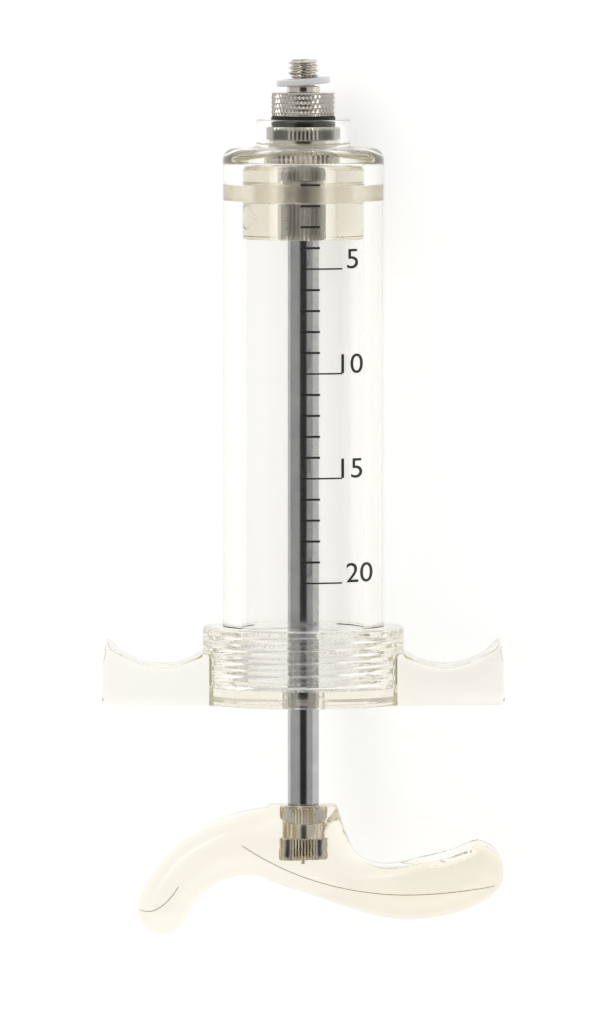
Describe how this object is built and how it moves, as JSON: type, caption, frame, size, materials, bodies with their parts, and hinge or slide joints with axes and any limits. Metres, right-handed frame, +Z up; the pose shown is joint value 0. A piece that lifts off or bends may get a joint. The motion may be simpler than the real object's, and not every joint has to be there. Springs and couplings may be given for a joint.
{
  "type": "refillable piston syringe",
  "caption": "Refillable piston syringe in clear plastic with a graduated barrel, a threaded metal nozzle head, a screwed finger ring with saddles and an S-shaped handle, lying down.",
  "frame": {"origin": "middle of the base of the box round the whole syringe as it lies on a table", "axes": "+Y along the syringe towards its nozzle, +X to the right of someone reading the scale, +Z up; the scale faces up and about 18 degrees towards +X, and the nozzle end lies 2.5 degrees low"},
  "size_m": [0.0648, 0.1388, 0.0327],
  "materials": {
    "clear_nylon": "clear, polished moulding",
    "amber_nylon": "clear moulding with a faint amber tint",
    "plated_brass": "nickel plated, turned and knurled",
    "steel": "drawn and polished stainless steel",
    "black_rubber": "matt black rubber",
    "beige_rubber": "smooth beige rubber",
    "white_nylon": "translucent white plastic"
  },
  "bodies": {
    "barrel": {"barrel": "clear_nylon", "nozzle_insert": "plated_brass"},
    "gasket": {"nozzle_gasket": "black_rubber"},
    "nozzle": {"nozzle_head": "plated_brass", "nozzle_washer": "white_nylon"},
    "seal": {"piston_seal": "beige_rubber"},
    "plunger": {"piston": "amber_nylon", "piston_insert": "steel", "plunger_rod": "steel", "handle": "amber_nylon", "handle_insert": "plated_brass"},
    "finger_ring": {"finger_ring": "clear_nylon"}
  },
  "joints": [
    {"name": "nozzle_advance", "type": "slide", "parent": "barrel", "child": "gasket", "axis": [0, 0.9991, -0.0429], "range_m": [0, 0.004]},
    {"name": "nozzle_turn", "type": "hinge", "parent": "gasket", "child": "nozzle", "pos_m": [0, 0.05315, 0.0128], "axis": [0, 0.9991, -0.0429], "range_deg": [0, 1800]},
    {"name": "plunger_slide", "type": "slide", "parent": "barrel", "child": "seal", "axis": [0, -0.9991, 0.0429], "range_m": [0, 0.0712]},
    {"name": "plunger_turn", "type": "hinge", "parent": "seal", "child": "plunger", "pos_m": [0, 0.05315, 0.0128], "axis": [0, 0.9991, -0.0429], "continuous": true},
    {"name": "ring_slide", "type": "slide", "parent": "barrel", "child": "finger_ring", "axis": [0, -0.9991, 0.0429], "range_m": [0, 0.0125]}
  ],
  "couplings": [
    {"joint": "nozzle_turn", "follows": "nozzle_advance", "rad_per_m": 7854}
  ]
}
